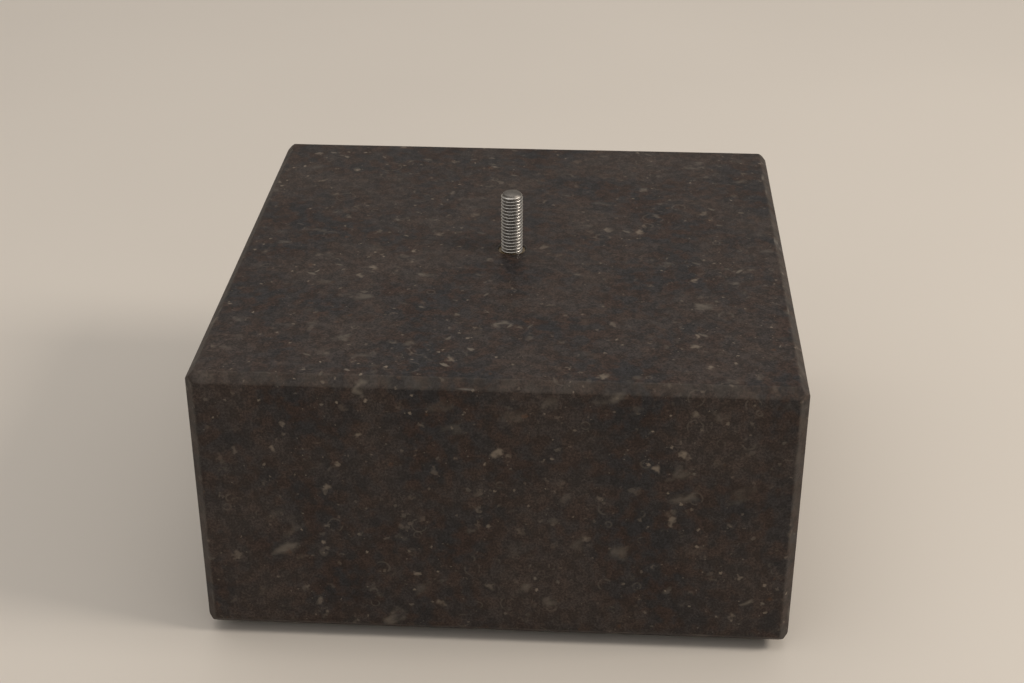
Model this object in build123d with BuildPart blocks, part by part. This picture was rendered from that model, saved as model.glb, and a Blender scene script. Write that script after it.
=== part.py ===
from build123d import *
from math import radians, tan
import os

# Display plinth for a small bronze: a solid stone block on four felt pads. A threaded stud is
# bonded through its middle and held by a nut underneath, and a figure's foot screws down onto it.
# Millimetres. +Z is up and +Y is towards the back. The origin is the middle of the footprint,
# on the surface that the pads stand on.

os.makedirs("parts", exist_ok=True)

# Stone block
block_width = 200.0
block_depth = 200.0
block_height = 100.0
arris = 3.0  # 45 degree chamfer, ground along every edge of the block
bore_diameter = 10.0
bore_mouth = 0.6  # chamfer that keeps the stone from chipping round the bore
recess_diameter = 40.0  # room for a socket spanner round the nut
recess_depth = 30.0

# Felt pads
pad_diameter = 30.0
pad_thickness = 3.0
pad_inset = 26.0  # from the block's sides to a pad's centre
pad_rim = 0.5  # chamfer round the felt's lower rim

# M8 threaded rod, bonded with resin
thread_diameter = 8.0
pitch_diameter = 7.2  # middle of the thread's flanks, where the resin takes hold
stud_length = 110.0
stud_reach = 22.0  # how far it stands above the stone
stud_point = 1.0
resin_sunk = 0.8  # the resin stops this far below the top of the stone

# M8 fastening in the recess, from its roof down
washer_bore = 8.4
washer_rim = 0.25  # rounding of a washer's outer edges
rubber_diameter = 28.0
rubber_thickness = 2.0
penny_diameter = 24.0
penny_thickness = 2.0
lock_diameter = 14.8
lock_thickness = 2.0
lock_split = 1.2  # width of the slanted cut through the ring
lock_slant = 25.0  # degrees between the cut and upright
nut_across_flats = 13.0
nut_height = 6.5
nut_bore = 8.1
nut_bearing_diameter = 11.8
nut_crown = 30.0  # degrees, slope of the rounded-off corners outside the bearing face
nut_countersink = 0.4

# Levels
block_bottom = pad_thickness
block_top = block_bottom + block_height
recess_roof = block_bottom + recess_depth
stud_top = block_top + stud_reach
stud_bottom = stud_top - stud_length
penny_top = recess_roof - rubber_thickness
lock_top = penny_top - penny_thickness
nut_top = lock_top - lock_thickness
nut_bottom = nut_top - nut_height


def save(builder, name):
    """Label a finished piece and write it to a STEP file of the same name."""
    builder.part.label = name
    export_step(builder.part, f"parts/{name}.step")


def ring(outer_diameter, inner_diameter):
    """Draw a ring in the current sketch."""
    Circle(outer_diameter / 2)
    Circle(inner_diameter / 2, mode=Mode.SUBTRACT)


# Stone block, bored from top to bottom and recessed from below
with BuildPart() as stone_block:
    with BuildSketch(Plane.XY.offset(block_bottom)):
        Rectangle(block_width, block_depth)
    extrude(amount=block_height)
    chamfer(stone_block.edges(), length=arris)
    with Locations(Plane(origin=(0, 0, block_bottom), z_dir=(0, 0, -1))):
        CounterBoreHole(
            radius=bore_diameter / 2,
            counter_bore_radius=recess_diameter / 2,
            counter_bore_depth=recess_depth,
        )
    bore_rim = stone_block.edges().filter_by(GeomType.CIRCLE).sort_by(Axis.Z)[-1]
    chamfer(bore_rim, length=bore_mouth)
save(stone_block, "stone_block")

# Stud: the full thread diameter where it is free, the pitch diameter where resin fills the thread
with BuildPart() as mounting_stud:
    with BuildSketch(Plane.XY.offset(stud_bottom)):
        Circle(thread_diameter / 2)
    extrude(amount=recess_roof - stud_bottom)
    with BuildSketch(Plane.XY.offset(recess_roof)):
        Circle(pitch_diameter / 2)
    extrude(amount=block_top - recess_roof)
    with BuildSketch(Plane.XY.offset(block_top)):
        Circle(thread_diameter / 2)
    extrude(amount=stud_reach)
    rims = mounting_stud.edges().filter_by(GeomType.CIRCLE).sort_by(Axis.Z)
    chamfer([rims[0], rims[-1]], length=stud_point)
save(mounting_stud, "mounting_stud")

# Resin: fills the bore round the stud, to just below the top of the stone
with BuildPart() as resin_bed:
    with BuildSketch(Plane.XY.offset(recess_roof)):
        ring(bore_diameter, pitch_diameter)
    extrude(amount=block_top - resin_sunk - recess_roof)
save(resin_bed, "resin_bed")

# Rubber washer, between the steel and the recess's roof
with BuildPart() as rubber_washer:
    with BuildSketch(Plane.XY.offset(penny_top)):
        ring(rubber_diameter, washer_bore)
    extrude(amount=rubber_thickness)
    outer_rims = rubber_washer.edges().filter_by(GeomType.CIRCLE).sort_by(SortBy.RADIUS)[-2:]
    fillet(outer_rims, radius=washer_rim)
save(rubber_washer, "rubber_washer")

# Penny washer, which spreads the nut's load
with BuildPart() as penny_washer:
    with BuildSketch(Plane.XY.offset(lock_top)):
        ring(penny_diameter, washer_bore)
    extrude(amount=penny_thickness)
    outer_rims = penny_washer.edges().filter_by(GeomType.CIRCLE).sort_by(SortBy.RADIUS)[-2:]
    fillet(outer_rims, radius=washer_rim)
save(penny_washer, "penny_washer")

# Spring lock washer, a ring with one slanted cut, pressed flat by the nut
with BuildPart() as lock_washer:
    with BuildSketch(Plane.XY.offset(nut_top)):
        ring(lock_diameter, washer_bore)
    extrude(amount=lock_thickness)
    cut_place = Location((lock_diameter / 2, 0, (nut_top + lock_top) / 2), (lock_slant, 0, 0))
    with Locations(cut_place):
        Box(lock_diameter, lock_split, 3 * lock_thickness, mode=Mode.SUBTRACT)
save(lock_washer, "lock_washer")

# Hexagon nut: a hexagon turned down to a ring with crowned corners and a countersunk bore
with BuildPart() as hex_nut:
    with BuildSketch(Plane.XY.offset(nut_bottom)):
        RegularPolygon(nut_across_flats / 2, 6, major_radius=False)
    extrude(amount=nut_height)
    bore_radius = nut_bore / 2
    mouth_radius = bore_radius + nut_countersink
    bearing_radius = nut_bearing_diameter / 2
    corner_radius = nut_across_flats / 3**0.5
    crown_drop = (corner_radius - bearing_radius) * tan(radians(nut_crown))
    with BuildSketch(Plane.XZ):
        with BuildLine():
            Polyline(
                (bore_radius, nut_bottom + nut_countersink),
                (mouth_radius, nut_bottom),
                (bearing_radius, nut_bottom),
                (corner_radius, nut_bottom + crown_drop),
                (corner_radius, nut_top - crown_drop),
                (bearing_radius, nut_top),
                (mouth_radius, nut_top),
                (bore_radius, nut_top - nut_countersink),
                close=True,
            )
        make_face()
    revolve(axis=Axis.Z, mode=Mode.INTERSECT)
save(hex_nut, "hex_nut")

# Felt pads, one under each corner
pad_x = block_width / 2 - pad_inset
pad_y = block_depth / 2 - pad_inset
pad_places = {
    "felt_pad_front_left": (-pad_x, -pad_y),
    "felt_pad_front_right": (pad_x, -pad_y),
    "felt_pad_back_left": (-pad_x, pad_y),
    "felt_pad_back_right": (pad_x, pad_y),
}
for pad_name, place in pad_places.items():
    with BuildPart() as felt_pad:
        with BuildSketch():
            with Locations(place):
                Circle(pad_diameter / 2)
        extrude(amount=pad_thickness)
        lower_rim = felt_pad.edges().filter_by(GeomType.CIRCLE).sort_by(Axis.Z)[0]
        chamfer(lower_rim, length=pad_rim)
    save(felt_pad, pad_name)
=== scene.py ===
import math
import random

import bpy
import numpy as np
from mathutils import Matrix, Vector, noise


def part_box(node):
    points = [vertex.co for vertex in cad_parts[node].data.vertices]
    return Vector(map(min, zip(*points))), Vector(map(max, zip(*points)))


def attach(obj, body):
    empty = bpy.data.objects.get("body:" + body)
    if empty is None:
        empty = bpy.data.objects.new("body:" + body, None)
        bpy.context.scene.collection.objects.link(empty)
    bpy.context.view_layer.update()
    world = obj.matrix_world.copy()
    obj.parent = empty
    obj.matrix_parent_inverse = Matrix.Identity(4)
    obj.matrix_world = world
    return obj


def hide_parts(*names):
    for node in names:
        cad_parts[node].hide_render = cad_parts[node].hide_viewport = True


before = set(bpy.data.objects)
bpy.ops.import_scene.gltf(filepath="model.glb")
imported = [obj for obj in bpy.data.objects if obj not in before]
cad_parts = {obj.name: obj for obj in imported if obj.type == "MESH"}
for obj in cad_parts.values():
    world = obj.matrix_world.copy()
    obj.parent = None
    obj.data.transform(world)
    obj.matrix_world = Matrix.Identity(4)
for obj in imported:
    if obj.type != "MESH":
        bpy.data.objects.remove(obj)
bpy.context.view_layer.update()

# A display plinth: a block of dark fossil limestone on felt pads, with an M8 stud through it.
# Metres, in the CAD model's frame: +Z is up, +Y is the back, and the floor is at z = 0.

MM = 0.001
BODY = "root"
NOISE_STEP = (7.3, -3.1, 5.7)  # how far one seed's noise lies from the next


# ---------------------------------------------------------------- meshes

def lattice(name, rings, wrap_rings=False, caps=False):
    """A smooth closed mesh from rings of points, an array of ring, point and XYZ.

    Each ring joins the next. The last joins the first with wrap_rings, or both ends close with caps.
    """
    rings = np.asarray(rings, float)
    n_rings, n_points, _ = rings.shape
    last = n_rings if wrap_rings else n_rings - 1
    ring, point = np.meshgrid(np.arange(last), np.arange(n_points), indexing="ij")
    next_ring = (ring + 1) % n_rings
    next_point = (point + 1) % n_points
    quads = np.stack([
        ring * n_points + point,
        ring * n_points + next_point,
        next_ring * n_points + next_point,
        next_ring * n_points + point,
    ], axis=-1).reshape(-1, 4)
    points = rings.reshape(-1, 3)
    faces = quads.tolist()
    if caps:
        centres = np.array([rings[0].mean(axis=0), rings[-1].mean(axis=0)])
        first_centre = len(points)
        points = np.vstack([points, centres])
        start = (n_rings - 1) * n_points
        for i in range(n_points):
            j = (i + 1) % n_points
            faces.append([first_centre, j, i])
            faces.append([first_centre + 1, start + i, start + j])
    mesh = bpy.data.meshes.new(name)
    mesh.from_pydata(points.tolist(), [], faces)
    if volume(mesh) < 0:
        mesh.flip_normals()
    mesh.shade_smooth()
    piece = bpy.data.objects.new(name, mesh)
    bpy.context.scene.collection.objects.link(piece)
    return piece


def volume(mesh):
    """The volume that a closed mesh holds, negative if its faces point inwards."""
    mesh.calc_loop_triangles()
    points = np.zeros(len(mesh.vertices) * 3)
    mesh.vertices.foreach_get("co", points)
    corners = np.zeros(len(mesh.loop_triangles) * 3, int)
    mesh.loop_triangles.foreach_get("vertices", corners)
    a, b, c = points.reshape(-1, 3)[corners.reshape(-1, 3)].transpose(1, 0, 2)
    return float(np.einsum("ij,ij->i", a, np.cross(b, c)).sum() / 6)


def rough(points, size, seed=0.0):
    """Smooth noise between about -1 and 1 at each point, with lumps of about that size."""
    shift = Vector([seed * step for step in NOISE_STEP])
    return np.array([noise.noise(Vector(p) / size + shift) for p in points])


def graded(length, margin, fine, coarse):
    """Places from 0 to length: fine steps within margin of both ends and coarse ones between."""
    n_fine = round(margin / fine)
    n_coarse = max(1, round((length - 2 * margin) / coarse))
    start = np.linspace(0, margin, n_fine + 1)
    middle = np.linspace(margin, length - margin, n_coarse + 1)
    end = np.linspace(length - margin, length, n_fine + 1)
    return np.concatenate([start[:-1], middle, end[1:]])


def circle_points(count):
    """Unit XY directions, evenly spaced round a circle."""
    angle = np.arange(count) * 2 * math.pi / count
    return np.stack([np.cos(angle), np.sin(angle)], axis=1)


def level(flat, z):
    """A ring of points at one height."""
    return np.column_stack([flat, np.full(len(flat), z)])


def lathe(name, profile, count=96):
    """A ring-shaped piece: a closed profile of (radius, z) turned about the Z axis."""
    turn = circle_points(count)
    rings = [level(turn * radius, z) for radius, z in profile]
    return lattice(name, rings, wrap_rings=True)


def dress(piece, node, slot, *materials):
    """The piece stands for a CAD node, rides on its body and wears these materials."""
    for material in materials:
        piece.data.materials.append(material)
    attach(piece, BODY)
    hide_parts(node)
    return piece


# ---------------------------------------------------------------- materials

class Finish:
    """A material's node tree. Sizes are in millimetres of the object's own space."""

    def __init__(self, name):
        self.material = bpy.data.materials.new(name)
        self.material.use_nodes = True
        self.tree = self.material.node_tree
        self.shader = self.tree.nodes["Principled BSDF"]
        space = self.node("ShaderNodeTexCoord").outputs["Object"]
        self.place = self.vector("SCALE", space, scale=1 / MM)

    def node(self, kind, inputs=None, **settings):
        """A new node with these settings, and its inputs linked or set."""
        made = self.tree.nodes.new(kind)
        for key, value in settings.items():
            setattr(made, key, value)
        for key, value in (inputs or {}).items():
            self.feed(made.inputs[key], value)
        return made

    def feed(self, socket, value):
        """Link an output to a socket, or set the socket's own value."""
        if isinstance(value, bpy.types.NodeSocket):
            self.tree.links.new(value, socket)
        else:
            socket.default_value = value

    def math(self, operation, a, b=0.0, clamp=False):
        made = self.node("ShaderNodeMath", {0: a, 1: b}, operation=operation, use_clamp=clamp)
        return made.outputs[0]

    def vector(self, operation, a, b=None, scale=None):
        made = self.node("ShaderNodeVectorMath", {0: a}, operation=operation)
        if b is not None:
            self.feed(made.inputs[1], b)
        if scale is not None:
            self.feed(made.inputs["Scale"], scale)
        return made.outputs["Value" if operation == "LENGTH" else "Vector"]

    def split(self, vector):
        made = self.node("ShaderNodeSeparateXYZ", {0: vector})
        return made.outputs[0], made.outputs[1], made.outputs[2]

    def attribute(self, name):
        """A mask that the mesh holds, one number for each point."""
        return self.node("ShaderNodeAttribute", attribute_name=name).outputs["Fac"]

    def remap(self, value, low, high, to_low=0.0, to_high=1.0):
        """A value from low to high, mapped smoothly to the range from to_low to to_high."""
        inputs = {"Value": value, 1: low, 2: high, 3: to_low, 4: to_high}
        made = self.node("ShaderNodeMapRange", inputs, interpolation_type="SMOOTHSTEP")
        return made.outputs["Result"]

    def noise(self, size, detail=2.0, roughness=0.5, stretch=(1, 1, 1), turn=(0, 0, 0)):
        """Noise about 0.5 with lumps of about that size."""
        place = self.moved(size, stretch, turn)
        inputs = {"Vector": place, "Scale": 1.0, "Detail": detail, "Roughness": roughness}
        return self.node("ShaderNodeTexNoise", inputs).outputs["Fac"]

    def moved(self, size, stretch=(1, 1, 1), turn=(0, 0, 0)):
        """The place in units of size, turned, and stretched along its own X, Y and Z."""
        turned = self.node("ShaderNodeVectorRotate", {"Vector": self.place}, rotation_type="EULER_XYZ")
        turned.inputs["Rotation"].default_value = turn
        unit = tuple(1 / (size * s) for s in stretch)
        return self.vector("MULTIPLY", turned.outputs[0], unit)

    def flecks(self, spacing, size, share, soft=0.5, ragged=0.35, stretch=(1, 1, 1), turn=(0, 0, 0)):
        """Separate spots up to size across, in that share of cells. Gives a mask and a tone per spot."""
        place = self.moved(spacing, stretch, turn)
        lumps = {"Vector": self.moved(size * 0.6, stretch, turn), "Scale": 1.0, "Detail": 2.0}
        wobble = self.node("ShaderNodeTexNoise", lumps).outputs["Color"]
        wobble = self.vector("SUBTRACT", wobble, (0.5, 0.5, 0.5))
        wobble = self.vector("SCALE", wobble, scale=2 * ragged * size / spacing)
        wobbly = self.vector("ADD", place, wobble)
        cells = self.node("ShaderNodeTexVoronoi", {"Vector": wobbly, "Scale": 1.0})
        chance, bulk, tone = self.split(cells.outputs["Color"])
        radius = self.remap(bulk, 0.0, 1.0, 0.15 * size / spacing, 0.5 * size / spacing)
        inner = self.math("MULTIPLY", radius, 1 - soft)
        spot = self.node(
            "ShaderNodeMapRange",
            {"Value": cells.outputs["Distance"], 1: inner, 2: radius, 3: 1.0, 4: 0.0},
            interpolation_type="SMOOTHSTEP",
        ).outputs["Result"]
        chosen = self.math("LESS_THAN", chance, share)
        return self.math("MULTIPLY", spot, chosen), tone

    def shells(self, spacing, radius, width, share, turn=(0, 0, 0)):
        """Thin broken rings, as a plane cuts shells and sea lily stems."""
        place = self.moved(spacing, turn=turn)
        cells = self.node("ShaderNodeTexVoronoi", {"Vector": place, "Scale": 1.0})
        chance, bulk, _ = self.split(cells.outputs["Color"])
        mean = self.remap(bulk, 0.0, 1.0, 0.6 * radius, 1.4 * radius)
        wobble = self.times(self.math("SUBTRACT", self.noise(1.6), 0.5), 0.8)
        distance = self.times(cells.outputs["Distance"], spacing)
        away = self.math("SUBTRACT", self.add(distance, wobble), mean)
        line = self.remap(self.math("ABSOLUTE", away), 0.0, width, 1.0, 0.0)
        broken = self.remap(self.noise(4.0, detail=1), 0.46, 0.56)
        return self.times(self.times(line, self.math("LESS_THAN", chance, share)), broken)

    def mix(self, factor, a, b, blend="MIX"):
        """A colour from a, at a factor of 0, to b, at 1."""
        made = self.node("ShaderNodeMix", data_type="RGBA", blend_type=blend)
        for socket, value in zip((0, 6, 7), (factor, a, b)):
            if isinstance(value, tuple) and len(value) == 3:
                value = (*value, 1.0)
            self.feed(made.inputs[socket], value)
        return made.outputs[2]

    def tint(self, colour, value, low, high):
        """A colour made darker or lighter, times low to high as value goes from 0 to 1."""
        amount = self.remap(value, 0.0, 1.0, low, high)
        grey = self.node("ShaderNodeCombineColor", {0: amount, 1: amount, 2: amount}).outputs[0]
        return self.mix(1.0, colour, grey, blend="MULTIPLY")

    def add(self, *values):
        total = values[0]
        for value in values[1:]:
            total = self.math("ADD", total, value)
        return total

    def times(self, value, amount):
        return self.math("MULTIPLY", value, amount)

    def surface(self, colour, roughness, height=None, depth=0.1, **constants):
        """Wire up the shader, with relief that is depth mm deep as height goes from 0 to 1.

        The constants set the sockets that they name, as specular_ior_level does.
        """
        self.feed(self.shader.inputs["Base Color"], colour)
        self.feed(self.shader.inputs["Roughness"], roughness)
        if height is not None:
            relief = {"Height": height, "Distance": depth * MM, "Strength": 1.0}
            self.feed(self.shader.inputs["Normal"], self.node("ShaderNodeBump", relief).outputs[0])
        for name, value in constants.items():
            socket = name.replace("_", " ").title().replace("Ior", "IOR")
            self.shader.inputs[socket].default_value = value
        return self.material


# The stone's colours, as linear RGB
MATRIX_WARM = (0.0305, 0.0180, 0.0142)
MATRIX_PALE = (0.0460, 0.0345, 0.0295)
MATRIX_COOL = (0.0198, 0.0190, 0.0212)
FOSSIL = (0.235, 0.195, 0.155)
SHELL = (0.150, 0.130, 0.108)
RUST = (0.120, 0.055, 0.024)
# paler colour on the chamfers: partly the ground arris's own wear, partly a painted highlight
ARRIS_WEAR_AND_HIGHLIGHT = (0.110, 0.096, 0.083)
FRESH_CHIP = (0.160, 0.148, 0.132)
SAW_DUST = (0.200, 0.195, 0.185)
DRILL_DUST = (0.190, 0.185, 0.175)

# spacing, size, share, softness, raggedness, stretch, turn, colour, strength
FOSSIL_LAYERS = (
    (10.0, 7.5, 0.85, 0.95, 0.60, (1.5, 1, 1), (0.2, 0.5, 0.1), SHELL, 0.80),
    (7.0, 4.6, 0.80, 0.80, 0.60, (1, 1, 1), (0.2, 0.5, 0.9), FOSSIL, 0.75),
    (3.6, 1.8, 0.65, 0.65, 0.45, (1, 1, 1), (0.9, 0.1, 0.6), FOSSIL, 0.80),
    (1.8, 0.8, 0.45, 0.60, 0.30, (1, 1, 1), (0.3, 0.8, 0.4), SHELL, 0.80),
    (6.0, 2.0, 0.60, 0.60, 0.40, (2.6, 1, 1), (0.1, 0.2, 0.5), SHELL, 1.00),
    (6.5, 1.9, 0.55, 0.60, 0.40, (3.0, 1, 1), (0.2, 0.1, 2.1), SHELL, 1.00),
)
RING_LAYERS = ((9.0, 1.0, 0.45), (15.0, 3.0, 0.50))  # spacing, mean radius, share
RING_WIDTH = 0.45
RING_STRENGTH = 0.30
SAW_CENTRE = (-260.0, -420.0, 0.0)  # middle of the arcs that the blade left
SAW_STROKES = ((2.9, 0.28), (0.83, 0.22))  # spacing and strength


def limestone(finish):
    """Dark fossil limestone. Gives its colour, its fossil mask and its grain, at the real scale."""
    broad = finish.remap(finish.noise(34, detail=4, roughness=0.6), 0.34, 0.66)
    speckle = finish.remap(finish.noise(3.2, detail=3, roughness=0.6), 0.34, 0.66)
    grain = finish.noise(0.8, detail=3, roughness=0.75)
    warmth = finish.remap(finish.noise(5.5, detail=3, turn=(0.6, 0.3, 0.2)), 0.40, 0.62)
    colour = finish.mix(warmth, MATRIX_COOL, MATRIX_WARM)
    colour = finish.mix(finish.times(broad, 0.75), colour, MATRIX_PALE)
    colour = finish.tint(colour, speckle, 0.78, 1.22)
    colour = finish.tint(colour, finish.remap(grain, 0.25, 0.75), 0.62, 1.42)
    bed = finish.remap(finish.noise(45, detail=2, turn=(0.1, 0.7, 0.4)), 0.36, 0.62, 0.35, 1.0)
    fossils = []
    for spacing, size, share, soft, ragged, stretch, turn, shade, strength in FOSSIL_LAYERS:
        spot, tone = finish.flecks(spacing, size, share, soft, ragged, stretch, turn)
        bright = finish.remap(tone, 0.0, 1.0, 0.2 * strength, strength)
        spot = finish.times(finish.times(spot, bed), bright)
        colour = finish.mix(spot, colour, shade)
        fossils.append(spot)
    for spacing, radius, share in RING_LAYERS:
        ring = finish.times(finish.shells(spacing, radius, RING_WIDTH, share), RING_STRENGTH)
        colour = finish.mix(ring, colour, SHELL)
        fossils.append(ring)
    rust, tone = finish.flecks(7.5, 3.0, 0.50, 0.9, 0.5, turn=(0.5, 0.2, 0.9))
    colour = finish.mix(finish.times(rust, finish.remap(tone, 0, 1, 0.1, 0.40)), colour, RUST)
    fossil = finish.math("MINIMUM", finish.add(*fossils), 1.0)
    return colour, fossil, grain


def honed_stone():
    """Ground smooth with a low sheen, duller on the ground arrises, fresh in the chips. The arrises are
    painted paler, partly for their ground wear and partly as a painted highlight.
    """
    finish = Finish("honed_limestone")
    colour, fossil, grain = limestone(finish)
    arris = finish.attribute("arris")
    chip = finish.attribute("chip")
    # the chamfers are painted paler in patches, partly for ground wear and partly as a painted highlight
    arris_wear_and_highlight = finish.remap(finish.noise(5, detail=3), 0.35, 0.65, 0.35, 1.0)
    colour = finish.mix(finish.times(finish.times(arris, arris_wear_and_highlight), 0.32), colour, ARRIS_WEAR_AND_HIGHLIGHT)
    colour = finish.mix(finish.times(chip, 0.7), colour, FRESH_CHIP)
    patch = finish.remap(finish.noise(14, detail=4, roughness=0.65), 0.3, 0.7, -0.06, 0.06)
    polish = finish.add(0.46, patch, finish.times(fossil, -0.10), finish.times(arris, 0.10))
    roughness = finish.math("ADD", polish, finish.times(chip, 0.25), clamp=True)
    pits = finish.flecks(3.0, 0.6, 0.25, 0.4, 0.4, turn=(1.2, 0.4, 0.3))[0]
    height = finish.add(
        finish.times(grain, 0.30),
        finish.times(finish.noise(0.25, detail=1), 0.20),
        finish.times(pits, -0.6),
        finish.times(finish.times(chip, finish.noise(1.0, detail=4)), 1.5),
    )
    return finish.surface(colour, roughness, height, depth=0.06, ior=1.5, specular_ior_level=0.24)


def sawn_stone():
    """The underside as the saw left it: paler, matt, with arcs from the blade."""
    finish = Finish("sawn_limestone")
    colour, _, grain = limestone(finish)
    colour = finish.mix(0.60, colour, SAW_DUST)
    blade = finish.vector("SUBTRACT", finish.place, SAW_CENTRE)
    sweep = finish.vector("LENGTH", finish.vector("MULTIPLY", blade, (1, 1, 0)))
    sweep = finish.add(sweep, finish.times(finish.noise(30), 3.0))
    strokes = []
    for spacing, strength in SAW_STROKES:
        wave = finish.math("SINE", finish.times(sweep, 2 * math.pi / spacing))
        strokes.append(finish.times(wave, strength))
    faint = finish.remap(finish.noise(15, detail=4, roughness=0.65), 0.38, 0.66, 0.05, 1.0)
    stroke = finish.times(finish.add(*strokes), faint)
    colour = finish.tint(colour, finish.add(stroke, 0.5), 0.90, 1.10)
    height = finish.add(finish.times(stroke, 0.6), finish.times(grain, 0.8))
    return finish.surface(colour, finish.remap(grain, 0.3, 0.7, 0.72, 0.88), height, depth=0.10)


def drilled_stone():
    """Inside the bore and the recess: scored round by the core drill."""
    finish = Finish("drilled_limestone")
    colour, _, grain = limestone(finish)
    colour = finish.mix(0.35, colour, DRILL_DUST)
    score = finish.noise(1.1, detail=3, stretch=(30, 30, 1))
    height = finish.add(finish.times(score, 1.2), finish.times(grain, 0.6))
    return finish.surface(colour, finish.remap(grain, 0.3, 0.7, 0.70, 0.90), height, depth=0.12)


def stainless():
    """Rolled stainless thread, darker in its roots than on its crests, with dull smears."""
    finish = Finish("stainless_thread")
    radius = finish.vector("LENGTH", finish.vector("MULTIPLY", finish.place, (1, 1, 0)))
    crest = finish.remap(radius, 3.3, 3.95)
    smear = finish.remap(finish.noise(2.5, detail=4, roughness=0.6), 0.35, 0.7)
    # darker in the thread's roots than on its crests
    colour = finish.mix(crest, (0.20, 0.19, 0.18), (0.63, 0.62, 0.60))
    colour = finish.mix(finish.times(smear, 0.25), colour, (0.34, 0.32, 0.29))
    roughness = finish.add(finish.times(smear, 0.16), finish.remap(crest, 0, 1, 0.42, 0.22))
    height = finish.noise(0.35, detail=3, stretch=(1, 1, 0.4))
    return finish.surface(colour, roughness, height, depth=0.01, metallic=1.0)


def zinc():
    """Bright zinc plating with a slight blue and yellow cast and dull handling marks."""
    finish = Finish("zinc_plate")
    cast = finish.noise(6, detail=3, roughness=0.6)
    spangle = finish.noise(0.8, detail=4, roughness=0.7)
    colour = finish.mix(finish.remap(cast, 0.35, 0.65), (0.56, 0.59, 0.62), (0.66, 0.64, 0.55))
    colour = finish.tint(colour, spangle, 0.80, 1.12)
    roughness = finish.remap(finish.noise(3, detail=4), 0.3, 0.7, 0.28, 0.50)
    return finish.surface(colour, roughness, spangle, depth=0.015, metallic=1.0)


def rubber():
    """Black rubber, dusty in patches."""
    finish = Finish("black_rubber")
    dust = finish.remap(finish.noise(1.5, detail=4, roughness=0.7), 0.45, 0.75)
    colour = finish.mix(finish.times(dust, 0.35), (0.018, 0.018, 0.018), (0.075, 0.070, 0.062))
    height = finish.noise(0.4, detail=3)
    return finish.surface(colour, finish.remap(dust, 0, 1, 0.55, 0.85), height, depth=0.03)


def resin():
    """Clear amber resin, cloudy with stone dust and a few bubbles."""
    finish = Finish("amber_resin")
    cloud = finish.noise(1.6, detail=3)
    bubbles = finish.flecks(1.3, 0.5, 0.35, soft=0.5, ragged=0.0)[0]
    colour = finish.mix(finish.remap(cloud, 0.3, 0.7), (0.13, 0.085, 0.038), (0.23, 0.175, 0.095))
    colour = finish.mix(finish.times(bubbles, 0.5), colour, (0.40, 0.34, 0.24))
    height = finish.add(finish.times(cloud, 0.4), finish.times(bubbles, 0.6))
    return finish.surface(colour, finish.remap(cloud, 0.3, 0.7, 0.16, 0.34), height, depth=0.05)


def felt():
    """Pressed wool felt: matted fibres that run every way, and a soft sheen."""
    finish = Finish("brown_felt")
    fibres = []
    for number in range(3):
        turn = (0.3 * number, 0.2, 1.05 * number)
        fibres.append(finish.noise(0.22, detail=2, stretch=(9, 1, 1), turn=turn))
    matted = finish.times(finish.add(*fibres), 1 / 3)
    clump = finish.noise(2.2, detail=3)
    colour = finish.mix(finish.remap(matted, 0.35, 0.65), (0.022, 0.016, 0.012), (0.082, 0.060, 0.045))
    colour = finish.tint(colour, clump, 0.70, 1.30)
    height = finish.add(finish.times(matted, 1.0), finish.times(clump, 0.3))
    return finish.surface(colour, 0.95, height, depth=0.25, sheen_weight=0.2, sheen_roughness=0.4)


# ---------------------------------------------------------------- stone block

STONE_LOW, STONE_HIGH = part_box("stone_block")
ARRIS = 3.0 * MM
BORE_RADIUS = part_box("resin_bed")[1].x
BORE_MOUTH = 0.6 * MM  # chamfer where the bore meets the top
RECESS_RADIUS = 20.0 * MM
RECESS_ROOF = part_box("rubber_washer")[1].z
RECESS_RIM = 0.5 * MM  # chamfer where the recess meets the underside
RECESS_CORNER = 0.8 * MM  # how far the drill's worn edge rounds the roof into the wall

SKIN = 8.0 * MM  # how far in from a face the inner box lies, which the surface is found from
EDGE_STEP = 0.375 * MM
FACE_STEP = 3.6 * MM
EDGE_ROUND = 0.35 * MM  # radius to which handling has rounded each edge of a chamfer
ARRIS_DRIFT = 0.09 * MM  # how far a hand-ground chamfer wanders
FACE_WAVE = 0.05 * MM  # how uneven the ground faces are
DRILL_WAVE = 0.06 * MM  # how uneven the drilled walls are
CHIP_COUNT = 46
CHIP_SEED = 11
FIND_STEPS = 22  # halvings, to well under a micrometre


def arris_lines():
    """(start, end, outward) for the middle of each of the block's twelve chamfers."""
    middle = (STONE_LOW + STONE_HIGH) / 2
    half = (STONE_HIGH - STONE_LOW) / 2
    lines = []
    for along in range(3):
        across, up = (along + 1) % 3, (along + 2) % 3
        for side_a in (-1, 1):
            for side_b in (-1, 1):
                outward = np.zeros(3)
                outward[across], outward[up] = side_a, side_b
                ends = []
                for end in (-1, 1):
                    point = np.array(middle)
                    point[across] += side_a * (half[across] - ARRIS / 2)
                    point[up] += side_b * (half[up] - ARRIS / 2)
                    point[along] += end * (half[along] - ARRIS)
                    ends.append(point)
                lines.append((ends[0], ends[1], outward / math.sqrt(2)))
    return lines


def chips():
    """(centre, radius) of the balls that bite small shallow chips out of the chamfers' edges."""
    draw = random.Random(CHIP_SEED)
    lines = arris_lines()
    bites = []
    for _ in range(CHIP_COUNT):
        start, end, outward = draw.choice(lines)
        place = start + (end - start) * draw.random()
        radius = draw.uniform(0.8, 2.6) * MM
        depth = radius * draw.uniform(0.10, 0.28)
        sideways = np.cross(outward, end - start)
        sideways = sideways / np.linalg.norm(sideways)
        slip = draw.choice((-1, 1)) * draw.uniform(0.4, 0.7) * ARRIS
        bites.append((place + sideways * slip + outward * (radius - depth), radius))
    return bites


def soft_max(values, radius):
    """The largest of several arrays, blended where two are within radius of each other."""
    top = values[0]
    for value in values[1:]:
        gap = np.clip(radius - np.abs(top - value), 0, None) / radius
        top = np.maximum(top, value) + gap**2 * radius / 4
    return top


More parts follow.
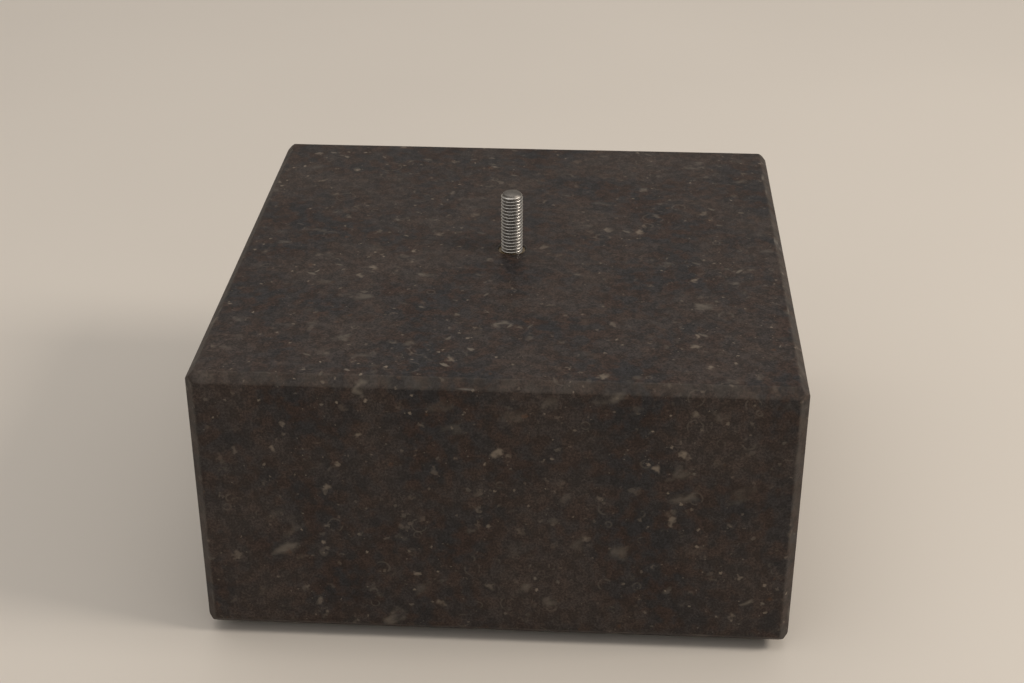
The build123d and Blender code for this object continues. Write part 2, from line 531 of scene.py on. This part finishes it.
def stone_field(points, drift, wave, bites):
    """How far outside the block's surface each point is, negative inside, with two masks."""
    middle = np.array((STONE_LOW + STONE_HIGH) / 2)
    half = np.array((STONE_HIGH - STONE_LOW) / 2)
    away = np.abs(points - middle) - half
    faces = soft_max([away[:, 0], away[:, 1], away[:, 2]], EDGE_ROUND)
    cuts = []
    for a, b in ((0, 1), (1, 2), (2, 0)):
        cuts.append((away[:, a] + away[:, b] + ARRIS + drift) / math.sqrt(2))
    cut = soft_max(cuts, EDGE_ROUND)
    body = soft_max([faces, cut], EDGE_ROUND) - wave
    bitten = np.full(len(points), -1.0)
    for centre, radius in bites:
        bitten = np.maximum(bitten, radius - np.linalg.norm(points - centre, axis=1))
    field = np.maximum(body, bitten)
    return field, cut > faces - EDGE_ROUND / 4, bitten > body


def worn_surface(points):
    """Moves points on the plain box inwards to the worn, chamfered and chipped stone."""
    inner_low = np.array(STONE_LOW) + SKIN
    inner_high = np.array(STONE_HIGH) - SKIN
    start = np.clip(points, inner_low, inner_high)
    way = points - start
    way = way / np.linalg.norm(way, axis=1)[:, None]
    drift = ARRIS_DRIFT * (rough(points, 26 * MM) + 0.4 * rough(points, 5 * MM, 1))
    wave = FACE_WAVE * (rough(points, 40 * MM, 2) - 0.6)
    bites = chips()
    near, far = np.zeros(len(points)), np.full(len(points), 2 * SKIN)
    for _ in range(FIND_STEPS):
        reach = (near + far) / 2
        outside = stone_field(start + way * reach[:, None], drift, wave, bites)[0] > 0
        far = np.where(outside, reach, far)
        near = np.where(outside, near, reach)
    surface = start + way * near[:, None]
    _, arris, chip = stone_field(surface, drift, wave, bites)
    return surface, arris.astype(float), chip.astype(float)


def square_outline():
    """Points round the block's sharp outline, closely spaced near the corners."""
    low, high = np.array(STONE_LOW)[:2], np.array(STONE_HIGH)[:2]
    steps = graded(high[0] - low[0], SKIN, EDGE_STEP, FACE_STEP)[:-1]
    side = np.stack([low[0] + steps, np.full(len(steps), low[1])], axis=1)
    sides = [side]
    for _ in range(3):
        side = np.stack([-side[:, 1], side[:, 0]], axis=1)
        sides.append(side)
    return np.concatenate(sides)


def face_rings(outline, towards, hole_radius, z):
    """Rings on a flat face, from its round hole out to its square edge."""
    span = STONE_HIGH.x - hole_radius
    steps = graded(2 * span, SKIN, EDGE_STEP, FACE_STEP)
    steps = steps[steps <= span]
    shares = 1 - steps[::-1] / span
    shares[0] = 0.0
    return [level(towards * hole_radius * (1 - t) + outline * t, z) for t in shares]


def outer_rings(outline, towards):
    """Rings over the top, down the sides and under to the recess, and the first one underneath."""
    top = face_rings(outline, towards, BORE_RADIUS + BORE_MOUTH, STONE_HIGH.z)
    depths = graded(STONE_HIGH.z - STONE_LOW.z, SKIN, EDGE_STEP, FACE_STEP)[1:-1]
    sides = [level(outline, STONE_HIGH.z - depth) for depth in depths]
    bottom = face_rings(outline, towards, RECESS_RADIUS + RECESS_RIM, STONE_LOW.z)[::-1]
    first_sawn = len(top) + len(sides) + round(SKIN / EDGE_STEP)
    return np.array(top + sides + bottom), first_sawn


def inner_circles():
    """(radius, z) from the recess's rim up its wall, across its roof and up the bore to its mouth."""
    rim = RECESS_RADIUS + RECESS_RIM
    circles = [(rim - RECESS_RIM * 0.7, STONE_LOW.z + RECESS_RIM * 0.3)]
    corner = RECESS_ROOF - RECESS_CORNER
    for z in np.linspace(STONE_LOW.z + RECESS_RIM, corner, 12):
        circles.append((RECESS_RADIUS, z))
    for share in (0.3, 1.0):
        rise = RECESS_CORNER * share
        circles.append((RECESS_RADIUS - rise * share, corner + rise))
    for radius in np.linspace(RECESS_RADIUS - 2.5 * MM, BORE_RADIUS + 0.3 * MM, 7):
        circles.append((radius, RECESS_ROOF))
    for z in np.linspace(RECESS_ROOF + 0.3 * MM, STONE_HIGH.z - 2 * MM, 10):
        circles.append((BORE_RADIUS, z))
    for share in (1.0, 0.66, 0.33):
        circles.append((BORE_RADIUS + BORE_MOUTH * (1 - share), STONE_HIGH.z - BORE_MOUTH * share))
    return circles


def drilled_surface(points):
    """Moves points in or out from the axis a little, as the core drill left the stone."""
    outward = np.zeros_like(points)
    outward[:, :2] = points[:, :2] / np.linalg.norm(points[:, :2], axis=1)[:, None]
    return points + (DRILL_WAVE * rough(points, 2.2 * MM, 3))[:, None] * outward


def stone_block():
    """One closed surface: over the outside, into the recess and back up the bore."""
    outline = square_outline()
    towards = outline / np.linalg.norm(outline, axis=1)[:, None]
    outer, first_sawn = outer_rings(outline, towards)
    outer_points, arris, chip = worn_surface(outer.reshape(-1, 3))
    inner = np.array([level(towards * radius, z) for radius, z in inner_circles()])
    inner_points = drilled_surface(inner.reshape(-1, 3))
    points = np.concatenate([outer_points, inner_points])
    piece = lattice("stone_body", points.reshape(-1, len(outline), 3), wrap_rings=True)

    unmasked = np.zeros(len(inner_points))
    for name, values in (("arris", arris), ("chip", chip)):
        layer = piece.data.attributes.new(name, "FLOAT", "POINT")
        layer.data.foreach_set("value", np.concatenate([values, unmasked]))

    honed, sawn, drilled = 0, 1, 2
    ring_of_face = np.arange(len(piece.data.polygons)) // len(outline)
    finish_of_face = np.where(ring_of_face < first_sawn, honed, sawn)
    finish_of_face = np.where(ring_of_face >= len(outer) - 1, drilled, finish_of_face)
    piece.data.polygons.foreach_set("material_index", finish_of_face)
    return dress(piece, "stone_block", "stone", honed_stone(), sawn_stone(), drilled_stone())


stone_block()


# ---------------------------------------------------------------- M8 stud

STUD_LOW, STUD_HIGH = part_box("mounting_stud")
THREAD_PITCH = 1.25 * MM
THREAD_RADIUS = STUD_HIGH.x - 0.02 * MM
THREAD_DEPTH = 0.767 * MM
CREST_SHARE = 0.125  # of half a pitch, flat on the crest
FLANK_SHARE = 0.70  # of half a pitch, down the flank
ROOT_START = 0.86  # of the depth, where the flank begins to round into the root
THREAD_ROWS = 12  # rings of points to a turn of thread
STUD_POINTS = 72
STUD_END_CHAMFER = 1.0 * MM


def thread_radius(z, angle):
    """The radius of an M8 thread, a 60 degree ridge with a flat crest and a rounded root."""
    phase = (z / THREAD_PITCH - angle / (2 * math.pi)) % 1.0
    ridge = np.abs(phase - 0.5) * 2  # 0 at the crest, 1 at the root
    cut = np.clip((ridge - CREST_SHARE) / FLANK_SHARE, 0, 1)
    return THREAD_RADIUS - THREAD_DEPTH * (cut - 0.5 * np.clip(cut - ROOT_START, 0, 1))


def threaded_stud():
    """Real thread where the stud is free, and a plain core where the resin hides it."""
    step = THREAD_PITCH / THREAD_ROWS
    core_top = STONE_HIGH.z - 4 * MM
    core_bottom = RECESS_ROOF + 2 * MM
    below = np.arange(STUD_LOW.z, core_bottom, step)
    hidden = np.linspace(core_bottom, core_top, 8)
    above = np.arange(core_top + step, STUD_HIGH.z, step)
    heights = np.concatenate([below, hidden, above, [STUD_HIGH.z]])
    turn = circle_points(STUD_POINTS)
    angle = np.arange(STUD_POINTS) * 2 * math.pi / STUD_POINTS
    core = THREAD_RADIUS - THREAD_DEPTH
    rings = []
    for z in heights:
        radius = thread_radius(z, angle)
        end = min(z - STUD_LOW.z, STUD_HIGH.z - z)
        radius = np.minimum(radius, THREAD_RADIUS - STUD_END_CHAMFER + end)
        if core_bottom <= z <= core_top:
            radius = np.full(STUD_POINTS, core)
        rings.append(level(turn * radius[:, None], z))
    piece = lattice("stud_threaded", rings, caps=True)
    return dress(piece, "mounting_stud", "stainless", stainless())


threaded_stud()


# ---------------------------------------------------------------- fastening under the block

ZINC = zinc()
WASHER_HOLE = 4.2 * MM  # radius of the holes in the flat washers


def resin_sleeve():
    """Fills the bore round the stud; its top climbs a little up the steel and the stone."""
    low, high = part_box("resin_bed")
    inner = THREAD_RADIUS - THREAD_DEPTH + 0.02 * MM
    outer = high.x
    climb = 0.25 * MM
    top = []
    for share in np.linspace(0, 1, 9):
        dish = (2 * share - 1) ** 4 * climb
        top.append((inner + (outer - inner) * share, high.z - climb + dish))
    profile = top + [(outer, low.z), (inner, low.z)]
    return dress(lathe("resin_sleeve", profile), "resin_bed", "resin", resin())


def rubber_ring():
    """Squeezed by the nut, so its outer edge bulges."""
    low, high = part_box("rubber_washer")
    middle, half = (low.z + high.z) / 2, (high.z - low.z) / 2
    swell = 0.35 * MM
    profile = [(WASHER_HOLE, high.z), (WASHER_HOLE, low.z)]
    for up in np.linspace(-1, 1, 11):
        bulge = swell * math.sqrt(1 - up**2)
        profile.append((high.x - swell + bulge, middle + half * up))
    return dress(lathe("rubber_ring", profile), "rubber_washer", "rubber", rubber())


def steel_washer():
    """Stamped: the edge that the punch met is rounded and the other is left sharp."""
    low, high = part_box("penny_washer")
    drawn = 0.45 * MM  # radius of the rounded edge
    burr = 0.05 * MM
    lead = 0.1 * MM  # how much the hole widens towards its rounded mouth
    profile = [
        (WASHER_HOLE, high.z),
        (WASHER_HOLE + lead, low.z + drawn * 0.3),
        (WASHER_HOLE + drawn, low.z),
    ]
    for angle in np.linspace(0, math.pi / 2, 6):
        radius = high.x - drawn + drawn * math.sin(angle)
        profile.append((radius, low.z + drawn - drawn * math.cos(angle)))
    profile += [(high.x, high.z - burr), (high.x - burr, high.z)]
    return dress(lathe("steel_washer", profile, count=128), "penny_washer", "zinc", ZINC)


def split_washer():
    """A bar bent into a ring, with its two slanted ends a little apart."""
    low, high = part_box("lock_washer")
    inner, outer = 4.15 * MM, high.x
    corner = 0.22 * MM
    tilt = math.radians(25)
    gap = 1.2 * MM / math.cos(tilt)
    steps = 90
    section = [
        (inner, low.z + corner),
        (inner + corner, low.z),
        (outer - corner, low.z),
        (outer, low.z + corner),
        (outer, high.z - corner),
        (outer - corner, high.z),
        (inner + corner, high.z),
        (inner, high.z - corner),
    ]
    rings = []
    for share in np.arange(steps + 1) / steps:
        ring = []
        for radius, z in section:
            half_gap = gap / 2 / radius
            lean = -math.tan(tilt) * (z - (low.z + high.z) / 2) / radius
            angle = half_gap + lean + share * (2 * math.pi - 2 * half_gap)
            ring.append((radius * math.cos(angle), radius * math.sin(angle), z))
        rings.append(ring)
    piece = lattice("split_washer", rings, caps=True)
    return dress(piece, "lock_washer", "zinc", ZINC)


def hexagon_nut():
    """Cold-formed: cones top and bottom round its corners, and its bore is countersunk."""
    low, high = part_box("hex_nut")
    height = high.z - low.z
    half_across = high.y
    bearing = 5.9 * MM  # radius of the flat face that bears on the washer
    lip = bearing - 0.3 * MM
    bore, sink = 4.06 * MM, 0.45 * MM
    slope = math.tan(math.radians(30))
    corner_round = 0.12 * MM
    cone = 1.3 * MM  # height that both cones stay within
    plain = 1.8 * MM
    count = 144

    angle = np.arange(count) * 2 * math.pi / count
    from_flat = (angle % (math.pi / 3)) - math.pi / 6
    hexagon = half_across / np.cos(from_flat)
    hexagon = np.minimum(hexagon, half_across / math.cos(math.pi / 6) - corner_round)
    turn = circle_points(count)
    heights = np.concatenate([
        np.linspace(0, cone, 14),
        np.linspace(plain, height - plain, 5),
        np.linspace(height - cone, height, 14),
    ])
    rings = [
        level(turn * bore, low.z + sink),
        level(turn * (bore + sink), low.z),
        level(turn * lip, low.z),
    ]
    for up in heights:
        end = min(up, height - up)
        radius = np.minimum(hexagon, bearing + end / slope)
        rings.append(level(turn * radius[:, None], low.z + up))
    rings += [
        level(turn * lip, high.z),
        level(turn * (bore + sink), high.z),
        level(turn * bore, high.z - sink),
    ]
    piece = lattice("hexagon_nut", rings, wrap_rings=True)
    return dress(piece, "hex_nut", "zinc", ZINC)


resin_sleeve()
rubber_ring()
steel_washer()
split_washer()
hexagon_nut()


# ---------------------------------------------------------------- felt pads

FELT_FUZZ = 0.18 * MM
FELT_BELLY = 0.25 * MM  # how far the stone's weight makes its edge bulge
FELT_INSET = 0.35 * MM  # room that the bulge and the fuzz need inside the CAD pad


def felt_pad(node, number, finish):
    """Cut from sheet felt: its edge is furry and bulges a little under the stone's weight."""
    low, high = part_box(node)
    centre = np.array([(low.x + high.x) / 2, (low.y + high.y) / 2])
    radius = (high.x - low.x) / 2
    thick = high.z - low.z
    count = 220
    turn = circle_points(count)
    profile = [(radius * share, low.z) for share in (0.04, 0.2, 0.4, 0.6, 0.8, 0.92)]
    for up in np.linspace(0, 1, 9):
        belly = FELT_BELLY * (1 - (2 * up - 1) ** 2) - FELT_INSET
        profile.append((radius + belly, low.z + thick * up))
    profile += [(radius * share, high.z) for share in (0.92, 0.6, 0.3, 0.04)]
    rings = []
    for r, z in profile:
        ring = level(turn * r + centre, z)
        if r > radius * 0.9 and low.z < z < high.z:
            tufts = rough(ring, 0.7 * MM, number)
            waves = rough(ring, 2.5 * MM, number + 1)
            ring[:, :2] += turn * (FELT_FUZZ * (tufts + 0.6 * waves))[:, None]
        rings.append(ring)
    disc = lattice(node.replace("felt_pad", "felt_disc"), rings, caps=True)
    piece = dress(disc, node, "felt", finish)
    return piece


FELT = felt()
PADS = sorted(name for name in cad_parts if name.startswith("felt_pad"))
for pad_number, pad_node in enumerate(PADS):
    felt_pad(pad_node, pad_number, FELT)


# ---------------------------------------------------------------- studio

FLOOR_COLOUR = (0.74, 0.70, 0.65)
FLOOR_LEVEL = -0.02 * MM  # just under the pads
FLOOR_FLAT = 1.2  # radius of its flat middle
BOWL_RADIUS = 6.0
BOWL_REACH = math.radians(55)

# name, place, size, watts, colour
LAMPS = (
    ("key", (1.25, -0.20, 1.05), 0.50, 11.0, (1.0, 0.90, 0.78)),
    ("softbox", (-0.3, 0.3, 3.2), 3.2, 27.0, (1.0, 0.93, 0.85)),
    ("fill", (-0.9, -1.1, 0.7), 1.0, 1.3, (0.97, 0.98, 1.0)),
)
WORLD_COLOUR = (0.97, 0.92, 0.86, 1)
WORLD_STRENGTH = 0.41


def studio_floor():
    """A pale floor that is flat round the plinth and curves up ever more steeply, as a shallow bowl."""
    finish = Finish("pale_floor")
    tone = finish.noise(400, detail=3)
    colour = finish.tint(FLOOR_COLOUR, tone, 0.97, 1.03)
    finish.surface(colour, finish.remap(tone, 0.3, 0.7, 0.60, 0.68))
    count = 96
    turn = circle_points(count)
    rings = [level(turn * radius, FLOOR_LEVEL) for radius in (0.02, 0.3, 0.6, 0.9, FLOOR_FLAT)]
    for angle in np.linspace(0, BOWL_REACH, 40)[1:]:
        radius = FLOOR_FLAT + BOWL_RADIUS * math.sin(angle)
        rings.append(level(turn * radius, FLOOR_LEVEL + BOWL_RADIUS * (1 - math.cos(angle))))
    points = np.concatenate(rings + [[[0.0, 0.0, FLOOR_LEVEL]]])
    centre = len(points) - 1
    faces = []
    for start in range(0, centre - count, count):
        for i in range(count):
            j = (i + 1) % count
            faces.append([start + i, start + count + i, start + count + j, start + j])
    faces += [[centre, i, (i + 1) % count] for i in range(count)]
    mesh = bpy.data.meshes.new("studio_floor")
    mesh.from_pydata(points.tolist(), [], faces)
    mesh.shade_smooth()
    mesh.materials.append(finish.material)
    floor = bpy.data.objects.new("studio_floor", mesh)
    bpy.context.scene.collection.objects.link(floor)


def lamp(name, place, target, size, power, colour):
    """A square soft light, aimed at a point."""
    light = bpy.data.lights.new(name, "AREA")
    light.shape = "SQUARE"
    light.size = size
    light.energy = power
    light.color = colour
    thing = bpy.data.objects.new(name, light)
    thing.location = place
    thing.rotation_euler = (Vector(target) - Vector(place)).to_track_quat("-Z", "Y").to_euler()
    bpy.context.scene.collection.objects.link(thing)


def studio_world():
    """A faint even light from all round."""
    world = bpy.data.worlds.new("studio")
    world.use_nodes = True
    background = world.node_tree.nodes["Background"]
    background.inputs["Color"].default_value = WORLD_COLOUR
    background.inputs["Strength"].default_value = WORLD_STRENGTH
    bpy.context.scene.world = world


TOP_CENTRE = Vector((0, 0, STONE_HIGH.z))
studio_floor()
for lamp_name, lamp_place, lamp_size, watts, lamp_colour in LAMPS:
    lamp(lamp_name, lamp_place, TOP_CENTRE, lamp_size, watts, lamp_colour)
studio_world()
bpy.context.scene.view_settings.view_transform = "Standard"

# The camera stands where the photographer did, and is tilted down to hold the whole plinth.
EYE = TOP_CENTRE + Vector((32, -567, 269)) * MM
AIM = Vector((0.0, 0.0, STONE_HIGH.z * 0.62))
camera_data = bpy.data.cameras.new("camera")
camera_data.lens = 60
camera_data.clip_start = 0.01
camera = bpy.data.objects.new("camera", camera_data)
camera.location = EYE
camera.rotation_euler = (AIM - EYE).to_track_quat("-Z", "Y").to_euler()
bpy.context.scene.collection.objects.link(camera)
bpy.context.scene.camera = camera
